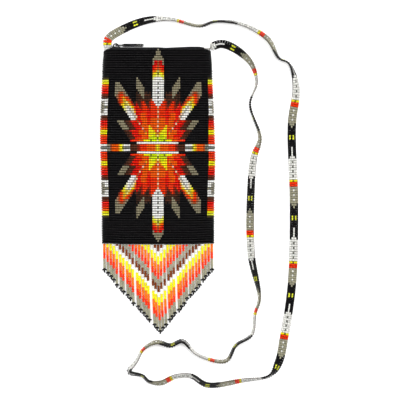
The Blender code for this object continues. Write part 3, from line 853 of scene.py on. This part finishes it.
def makeStrap():
    numbers, line, lean, girth = strapRows()
    length, count = seedBead["length"], strap["beadsAcross"]
    template = barrel(strap["beadSides"])
    beads, threads = [], [[] for k in range(count + 1)]
    for row in range(len(line)):
        tangent = (line[min(row + 1, len(line) - 1)] - line[max(row - 1, 0)]).normalized()
        right = tangent.cross(Vector((0, 0, 1))).normalized()
        across = right * math.cos(lean[row]) + right.cross(tangent).normalized() * math.sin(lean[row])
        normal = across.cross(tangent).normalized()
        for column in range(count):
            beads.append((line[row] + across * (column - (count - 1) / 2) * length, across, normal,
                          strap["beadShare"], girth[row] * strap["girth"], strapColour(numbers[row], column)))
        for k in range(count + 1):
            threads[k].append(line[row] + across * (k - count / 2) * length * strap["threadShare"])
    piece = strewBeads("strapBeads", template, beads, strap, beadGlass("strapGlass", strap["roughness"]))
    warp = addThread("strapThreads", "strapThread", threads, strap["thread"], strap["threadColour"])
    stitches = []
    for end, corner in ((0, -1), (-1, 1)):
        for k, thread in enumerate(threads):
            x = corner * strap["sewnAt"] + strap["sewnGap"] * (k - count / 2)
            stitches.append(cornerStitch(thread[end], x))
    sewn = addThread("strapStitches", "strapStitch", stitches, strap["thread"], strap["stitchColour"])
    for part in (piece, warp, sewn):
        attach(part, "pouch")
    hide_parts("strap")


# From the end of a thread of the strap, over the edge of the sleeve and down on its front
def cornerStitch(start, x):
    top = sleeve["top"] - cornerDrop(x, sleeve["top"])
    centre = sleeve["thickness"] / 2
    reach = sleeve["sideRound"] - seedBead["diameter"] / 2
    high = centre + math.sqrt(reach ** 2 - max(abs(x) - widthAt(top) / 2 + sleeve["sideRound"], 0) ** 2)
    share, footRise, footLift = strap["sewnFoot"]
    return [start, Vector((start.x + (x - start.x) * share, top + footRise, start.z + footLift)),
            Vector((x, top + strap["sewnOver"], centre)), Vector((x, top + strap["sewnEdge"], high)),
            Vector((x, top - strap["sewnEnd"][0], high + strap["sewnEnd"][1]))]


makeStrap()

# Zip: tapes, coils, stops, slider and pull tab, along x over the top edge

millimetres = 1000      # to a metre

zipper = {
    "middle": 0.006, "line": sleeve["top"] + 0.0002, "halfLength": 0.0425,
    "tapeSteps": 96, "merge": 0.000002,
    # How far the tapes rise over the line of the zip, at places along it
    "rises": ((-0.0425, -0.0004), (-0.036, 0), (0.001, 0), (0.0075, -0.0004), (0.018, 0.0001),
              (0.029, 0.0006), (0.038, 0.0006), (0.0425, -0.0003)),
    # Section of a tape: distance from the middle and height over the coils, in millimetres
    "section": ((3.6, -9.2), (3.6, 0.35), (3.56, 0.62), (3.45, 0.84), (3.28, 0.97), (3.1, 0.95), (3.0, 0.8),
                (2.97, 0.55), (2.85, 0.36), (2.6, 0.3), (2.45, 0.22), (2.38, 0.0), (2.45, -0.22),
                (2.7, -0.32), (2.95, -0.45), (3.0, -0.8), (3.0, -9.2)),
    "riseFrom": 0.2, "riseOver": 0.6, "ripple": 0.06, "rippleTurn": 900, "rippleFrom": -2, "rippleOver": 2,
    "tapeColour": (17, 17, 19), "tapeRibs": 0.0007, "tapeRoughness": 0.75,
    "coilHalfLength": 0.0412, "coilPitch": 0.00103, "coilWire": 0.0002, "coilCentre": 0.00133,
    "coilReach": 0.00069, "coilHeight": 0.00054, "coilLean": 0.16, "coilTurnSteps": 12,
    "coilSides": 6, "coilColour": (15, 15, 16), "coilRoughness": 0.35,
}
stitch = {
    "from": -0.0405, "to": 0.041, "gap": 0.0033, "uneven": 0.12, "wire": 0.00013, "colour": (26, 25, 26),
    # Heights over the line and depths from the middle in the tape, then round the bead row and back in
    "inTape": ((-0.0004, 0.0034), (0.0005, 0.0038)), "turnSteps": 7, "turnFrom": 120, "turnStep": 25,
    "advance": 0.00015, "around": 0.6, "least": 1.2, "endX": 0.001, "endDepth": 0.0048,
}
metal = {
    "lacquer": (9, 9, 10), "bare": (196, 194, 190), "specular": 0.2, "bareRoughness": 0.3,
    "sliderRoughness": 0.22, "tabRoughness": 0.16,
    "smallFace": 1.5e-6, "spotScale": 900.0, "spotFrom": 0.50, "spotTo": 0.62,      # faces and spots with wear
    "sharpAngle": 40, "edgeAngle": 1.2, "cornerSteps": 5,
    "sliderX": -0.0372, "plateLow": 0.00105, "plateHigh": 0.00185, "plateBevel": 0.0002,
    # Half outlines of the slider's plates and of its neck, in millimetres
    "plate": ((-4.0, 1.3), (-3.85, 1.9), (-3.4, 2.45), (-2.8, 2.7), (2.5, 2.68), (3.3, 2.4), (3.8, 1.9),
              (4.0, 1.3)),
    "neck": ((-3.7, 0.15), (-3.35, 0.4), (-1.9, 0.4), (-1.3, 0.12)), "neckHalf": 0.0013, "neckBevel": 0.00005,
    "rimLow": 0.0006, "rimSink": 0.0003, "rimWall": 0.0004, "rimAt": 0.0025, "rimEnds": (-0.0029, 0.0026),
    "rimBevel": 0.0001, "bailRadius": 0.0024, "bailWire": 0.0006, "bailSink": 0.0005, "bailSteps": 16,
    "bailSides": 12, "bailWear": 0.6, "pivotRise": 0.0029,
    "fork": {"from": -0.0005, "to": 0.0072, "width": 0.0034, "wall": 0.0013, "corner": 0.0007, "bevel": 0.0003,
             "slotFrom": 0.0005, "slotTo": 0.0036, "slotWidth": 0.0018, "slotCorner": 0.0006},
    "tab": {"from": 0.0056, "to": 0.025, "width": 0.0042, "wall": 0.0013, "corner": 0.0016, "bevel": 0.00035,
            "slotFrom": 0.0176, "slotTo": 0.0222, "slotWidth": 0.0016, "slotCorner": 0.0007, "twist": 35},
    "stopX": 0.042, "stopBevel": 0.0003, "stopDepth": 0.00145, "stopSize": (0.001, 0.0018, 0.0015),
    "bottomSize": (0.001, 0.0018, 0.0044),
}


def blackNylon(name, colour, roughness):
    material, nodes, _ = newMaterial(name)
    fill(nodes["Principled BSDF"], {"Base Color": (*linear(colour), 1), "Roughness": roughness})
    return material


# Black lacquer that is worn to bare metal in spots where the piece has its "wear"
def wornLacquer(name, roughness):
    material, nodes, links = newMaterial(name)
    shader = fill(nodes["Principled BSDF"], {"Specular IOR Level": metal["specular"]})
    place = addNode(nodes, "TexCoord")
    spots = addNode(nodes, "TexNoise", {"Scale": metal["spotScale"], "Detail": 3.0})
    wear = addNode(nodes, "Attribute", attribute_name="wear")
    worn = addNode(nodes, "Math", operation="MULTIPLY")
    bare = addNode(nodes, "MapRange", {"From Min": metal["spotFrom"], "From Max": metal["spotTo"]})
    rough = addNode(nodes, "MapRange", {"To Min": roughness, "To Max": metal["bareRoughness"]})
    colour = twoTones(nodes, linear(metal["lacquer"]), linear(metal["bare"]))
    links.new(place.outputs["Object"], spots.inputs["Vector"])
    links.new(wear.outputs["Fac"], worn.inputs[0])
    links.new(spots.outputs["Fac"], worn.inputs[1])
    links.new(worn.outputs[0], bare.inputs["Value"])
    for socket in (colour.inputs["Factor"], shader.inputs["Metallic"], rough.inputs["Value"]):
        links.new(bare.outputs["Result"], socket)
    links.new(rough.outputs["Result"], shader.inputs["Roughness"])
    links.new(colour.outputs["Result"], shader.inputs["Base Color"])
    return material


def makeTape(side):
    section = zipper["section"]
    name = "zipTapeFront" if side > 0 else "zipTapeBack"
    places, rises = zip(*zipper["rises"])
    bm = bmesh.new()
    bmesh.ops.create_grid(bm, x_segments=zipper["tapeSteps"], y_segments=len(section), size=0.5)
    for vertex in bm.verts:
        x = zipper["halfLength"] * 2 * vertex.co.x
        out, high = section[round((vertex.co.y + 0.5) * len(section)) % len(section)]
        rise = float(np.interp(x, places, rises))
        high += millimetres * rise * smoothStep((high - zipper["riseFrom"]) / zipper["riseOver"])
        ripple = zipper["ripple"] * math.sin(x * zipper["rippleTurn"])
        out += ripple * smoothStep((high - zipper["rippleFrom"]) / zipper["rippleOver"])
        vertex.co = Vector((x, zipper["line"] + high / millimetres, zipper["middle"] + side * out / millimetres))
    bmesh.ops.remove_doubles(bm, verts=bm.verts, dist=zipper["merge"])
    bmesh.ops.holes_fill(bm, edges=[e for e in bm.edges if e.is_boundary], sides=0)
    bmesh.ops.recalc_face_normals(bm, faces=bm.faces)
    mesh = meshFrom(bm, name)
    mesh.shade_smooth()
    cloth = wovenCloth(name, zipper["tapeColour"], zipper["tapeRibs"], zipper["tapeRoughness"])
    tape = addPiece(name, mesh, cloth)
    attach(tape, "pouch")
    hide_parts("zipper_tape_front" if side > 0 else "zipper_tape_back")


def makeCoil(side, nylon):
    turns = 2 * zipper["coilHalfLength"] / zipper["coilPitch"] - 0.5
    path = []
    for k in range(int(turns * zipper["coilTurnSteps"]) + 1):
        turn = k / zipper["coilTurnSteps"] + (0.5 if side > 0 else 0.0)
        angle = 2 * math.pi * turn
        out = zipper["coilCentre"] + zipper["coilReach"] * math.cos(angle)
        along = zipper["coilPitch"] * (turn + zipper["coilLean"] * math.sin(2 * angle))
        x = -zipper["coilHalfLength"] + zipper["coilWire"] + along
        y = zipper["line"] + zipper["coilHeight"] * math.sin(angle)
        path.append(Vector((x, y, zipper["middle"] + side * out)))
    name = "zipCoilFront" if side > 0 else "zipCoilBack"
    mesh = tubeMesh(name, [path], zipper["coilWire"], zipper["coilSides"])
    mesh.shade_smooth()
    coil = addPiece(name, mesh, nylon)
    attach(coil, "pouch")
    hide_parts("zipper_coil_front" if side > 0 else "zipper_coil_back")


def makeZipStitches():
    rowY = sleeve["top"] - sleeve["rowPitch"] / 2
    around = seedBead["diameter"] / 2 + stitch["wire"] * stitch["around"]
    paths = []
    for side in (1, -1):
        centre = zipper["middle"] + side * (zipper["middle"] - seedBead["diameter"] / 2)
        x = stitch["from"]
        while x < stitch["to"]:
            path = [Vector((x, zipper["line"] + high, zipper["middle"] + side * out))
                    for high, out in stitch["inTape"]]
            for step in range(stitch["turnSteps"]):
                angle = math.radians(stitch["turnFrom"] - stitch["turnStep"] * step)
                z = max(centre + side * around * math.cos(angle), stitch["wire"] * stitch["least"])
                path.append(Vector((x + stitch["advance"] * step, rowY + around * math.sin(angle), z)))
            path.append(Vector((x + stitch["endX"], rowY - sleeve["rowPitch"] / 2,
                                zipper["middle"] + side * stitch["endDepth"])))
            paths.append(path)
            x += stitch["gap"] * (1 + stitch["uneven"] * dice.uniform(-1, 1))
    sewn = addThread("zipStitches", "zipStitch", paths, stitch["wire"], stitch["colour"])
    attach(sewn, "pouch")


# Plates with their outlines in x and z and their walls along y, and a hole where one is given

def loopEdges(bm, outline, y):
    corners = [bmesh.ops.create_vert(bm, co=(x, y, z))["vert"][0] for x, z in outline]
    edges = []
    for a, b in zip(corners, corners[1:] + corners[:1]):
        edges += bmesh.ops.contextual_create(bm, geom=[a, b])["edges"]
    return edges


def plateBody(outer, inner, low, high, bevel):
    bm = bmesh.new()
    edges = loopEdges(bm, outer, low)
    if inner:
        edges += loopEdges(bm, inner, low)
        bmesh.ops.bridge_loops(bm, edges=edges)
    else:
        bmesh.ops.contextual_create(bm, geom=edges)
    raised = bmesh.ops.extrude_face_region(bm, geom=list(bm.faces))["geom"]
    raised = [v for v in raised if isinstance(v, bmesh.types.BMVert)]
    bmesh.ops.translate(bm, verts=raised, vec=(0, high - low, 0))
    bmesh.ops.recalc_face_normals(bm, faces=bm.faces)
    rims = [e for e in bm.edges if len(e.link_faces) == 2 and e.calc_face_angle() > metal["edgeAngle"]]
    bmesh.ops.bevel(bm, geom=rims, offset=bevel, segments=3, profile=0.5, affect="EDGES", material=-1)
    return bm


def roundedLoop(start, end, width, corner):
    outline = []
    steps = metal["cornerSteps"]
    for across, along, turn in ((1, 1, 0), (1, -1, 90), (-1, -1, 180), (-1, 1, 270)):
        centre = ((end - corner) if along > 0 else (start + corner), across * (width / 2 - corner))
        for step in range(steps + 1):
            angle = math.radians(turn + 90 * step / steps)
            outline.append((centre[0] + corner * math.cos(angle), centre[1] + corner * math.sin(angle)))
    return outline


def bothSides(points):
    half = [(x / millimetres, z / millimetres) for x, z in points]
    return half + [(x, -z) for x, z in reversed(half)]


# One mesh of several bodies, worn at its small faces, which are its edges. A share is for the last body.
def joined(name, bodies, lastShare=1.0):
    whole = bmesh.new()
    for body in bodies:
        wear = body.verts.layers.float.new("wear")
        share = lastShare if body is bodies[-1] else 1.0
        for vertex in body.verts:
            vertex[wear] = share * all(f.calc_area() < metal["smallFace"] for f in vertex.link_faces)
        part = meshFrom(body, "part")
        whole.from_mesh(part)
        bpy.data.meshes.remove(part)
    mesh = meshFrom(whole, name)
    mesh.shade_smooth()
    mesh.set_sharp_from_angle(angle=math.radians(metal["sharpAngle"]))
    return mesh


def makeSlider(lacquer):
    bodies = []
    start, end = metal["rimEnds"]
    half = metal["rimWall"] / 2
    for side in (1, -1):
        low, high = sorted((side * metal["plateLow"], side * metal["plateHigh"]))
        bodies.append(plateBody(bothSides(metal["plate"]), None, low, high, metal["plateBevel"]))
        low, high = sorted((side * metal["rimLow"], side * (metal["plateLow"] + metal["rimSink"])))
        for z in (metal["rimAt"], -metal["rimAt"]):
            rim = [(start, z - half), (end, z - half), (end, z + half), (start, z + half)]
            bodies.append(plateBody(rim, None, low, high, metal["rimBevel"]))
    half = metal["neckHalf"]
    bodies.append(plateBody(bothSides(metal["neck"]), None, -half, half, metal["neckBevel"]))
    radius, foot = metal["bailRadius"], metal["plateHigh"] - metal["bailSink"]
    arch = [Vector((-radius, foot, 0))]
    for step in range(metal["bailSteps"] + 1):
        angle = math.pi * (1 - step / metal["bailSteps"])
        arch.append(Vector((radius * math.cos(angle), metal["plateHigh"] + radius * math.sin(angle), 0)))
    arch.append(Vector((radius, foot, 0)))
    bail = bmesh.new()
    bail.from_mesh(tubeMesh("bail", [arch], metal["bailWire"], metal["bailSides"]))
    bodies.append(bail)
    mesh = joined("zipSlider", bodies, metal["bailWear"])
    mesh.transform(Matrix.Translation((metal["sliderX"], zipper["line"], zipper["middle"])))
    slider = addPiece("zipSlider", mesh, lacquer)
    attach(slider, "zip_slider")
    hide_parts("slider")


def makePullTab(lacquer):
    bodies = []
    for shape in (metal["fork"], metal["tab"]):
        outer = roundedLoop(shape["from"], shape["to"], shape["width"], shape["corner"])
        slot = roundedLoop(shape["slotFrom"], shape["slotTo"], shape["slotWidth"], shape["slotCorner"])
        body = plateBody(outer, slot, -shape["wall"] / 2, shape["wall"] / 2, shape["bevel"])
        turn = Matrix.Rotation(math.radians(shape.get("twist", 0)), 4, "X")
        bmesh.ops.transform(body, matrix=turn, verts=body.verts)
        bodies.append(body)
    mesh = joined("pullTab", bodies)
    mesh.transform(Matrix.Translation((metal["sliderX"], zipper["line"] + metal["pivotRise"], zipper["middle"])))
    tab = addPiece("pullTab", mesh, lacquer)
    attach(tab, "zip_pull")
    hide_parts("pull_tab")


def makeStops(lacquer):
    depth = metal["stopDepth"]
    for name, node, x, z, size in (("topStopFront", "top_stop_front", -1, depth, metal["stopSize"]),
                                   ("topStopBack", "top_stop_back", -1, -depth, metal["stopSize"]),
                                   ("bottomStop", "bottom_stop", 1, 0, metal["bottomSize"])):
        bm = bmesh.new()
        bmesh.ops.create_cube(bm, size=1, matrix=Matrix.Diagonal((*size, 1)))
        bmesh.ops.bevel(bm, geom=bm.edges, offset=metal["stopBevel"], segments=3, profile=0.5, affect="EDGES",
                        material=-1)
        mesh = joined(name, [bm])
        mesh.transform(Matrix.Translation((x * metal["stopX"], zipper["line"], zipper["middle"] + z)))
        stop = addPiece(name, mesh, lacquer)
        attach(stop, "pouch")
        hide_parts(node)


def makeZip():
    nylon = blackNylon("coilNylon", zipper["coilColour"], zipper["coilRoughness"])
    lacquer = wornLacquer("sliderLacquer", metal["sliderRoughness"])
    for side in (1, -1):
        makeTape(side)
        makeCoil(side, nylon)
    makeZipStitches()
    makeStops(lacquer)
    makeSlider(lacquer)
    makePullTab(wornLacquer("tabLacquer", metal["tabRoughness"]))
    print("zip done")


makeZip()

# Floor, light and camera

stage = {"floorSize": 6.0, "floorDrop": 0.00008, "floorWhite": 0.80, "floorLift": 0.45}


# A pale floor that keeps shadows, and looks white to the camera and in reflections
def makeFloor():
    bm = bmesh.new()
    bmesh.ops.create_grid(bm, x_segments=1, y_segments=1, size=stage["floorSize"] / 2)
    bmesh.ops.translate(bm, verts=bm.verts, vec=(0, 0, -stage["floorDrop"]))
    material, nodes, links = newMaterial("floorWhite")
    nodes.remove(nodes["Principled BSDF"])
    diffuse = addNode(nodes, "BsdfDiffuse", {"Color": (stage["floorWhite"],) * 3 + (1,)})
    glow = addNode(nodes, "Emission", {"Color": (1, 1, 1, 1)})
    path = addNode(nodes, "LightPath")
    seen = addNode(nodes, "Math", operation="MAXIMUM")
    alsoThrough = addNode(nodes, "Math", operation="MAXIMUM")
    lift = addNode(nodes, "Math", {1: stage["floorLift"]}, operation="MULTIPLY")
    both = addNode(nodes, "AddShader")
    links.new(path.outputs["Is Camera Ray"], seen.inputs[0])
    links.new(path.outputs["Is Glossy Ray"], seen.inputs[1])
    links.new(seen.outputs[0], alsoThrough.inputs[0])
    links.new(path.outputs["Is Transmission Ray"], alsoThrough.inputs[1])
    links.new(alsoThrough.outputs[0], lift.inputs[0])
    links.new(lift.outputs[0], glow.inputs["Strength"])
    links.new(diffuse.outputs[0], both.inputs[0])
    links.new(glow.outputs[0], both.inputs[1])
    links.new(both.outputs[0], nodes["Material Output"].inputs["Surface"])
    floor = addPiece("floor", meshFrom(bm, "floor"), material)


# Tones of the room from the horizon, 0, to straight above, 1
room = ((0.0, 0.85), (1.0, 0.10), (0.25, 0.10), (0.6, 0.08))
lamps = {
    "top": {"at": (0.35, 0.55, 2.50), "size": 0.7, "power": 32},
    "back": {"at": (0.10, 1.90, 1.20), "size": 1.4, "power": 12},
    "left": {"at": (-1.80, 0.10, 1.35), "size": 1.8, "power": 40},
    "right": {"at": (1.90, 0.10, 1.35), "size": 1.8, "power": 40},
}


def makeLight():
    for name, lamp in lamps.items():
        data = bpy.data.lights.new(name, "AREA")
        data.size = lamp["size"]
        data.energy = lamp["power"]
        light = bpy.data.objects.new(name, data)
        light.location = lamp["at"]
        light.rotation_euler = (-Vector(lamp["at"])).to_track_quat("-Z", "Y").to_euler()
        bpy.context.scene.collection.objects.link(light)
    world = bpy.data.worlds.new("studio")
    world.use_nodes = True
    nodes, links = world.node_tree.nodes, world.node_tree.links
    backdrop = nodes["Background"]
    sky = addNode(nodes, "TexCoord")
    split = addNode(nodes, "SeparateXYZ")
    shade = addNode(nodes, "ValToRGB")
    for index, (place, tone) in enumerate(room):
        stop = shade.color_ramp.elements[index] if index < 2 else shade.color_ramp.elements.new(place)
        stop.position = place
        stop.color = (tone, tone, tone, 1)
    links.new(sky.outputs["Generated"], split.inputs["Vector"])
    links.new(split.outputs["Z"], shade.inputs["Fac"])
    links.new(shade.outputs["Color"], backdrop.inputs["Color"])
    bpy.context.scene.world = world


camera = {"framePixels": 400, "lens": 300, "sensor": 36, "level": 0.006, "sight": 10}


# Straight above the middle of the photograph's frame, which it fills at the level of the sleeve's middle
def makeCamera():
    half = camera["framePixels"] / 2
    data = bpy.data.cameras.new("camera")
    data.lens = camera["lens"]
    data.sensor_width = camera["sensor"]
    distance = camera["framePixels"] * photo["pixel"] * camera["lens"] / camera["sensor"]
    data.clip_end = distance * camera["sight"]
    view = bpy.data.objects.new("camera", data)
    view.location = (*strapPlace(half, half), distance + camera["level"])
    bpy.context.scene.collection.objects.link(view)
    bpy.context.scene.camera = view


makeFloor()
makeLight()
makeCamera()
bpy.context.scene.view_settings.view_transform = "Standard"
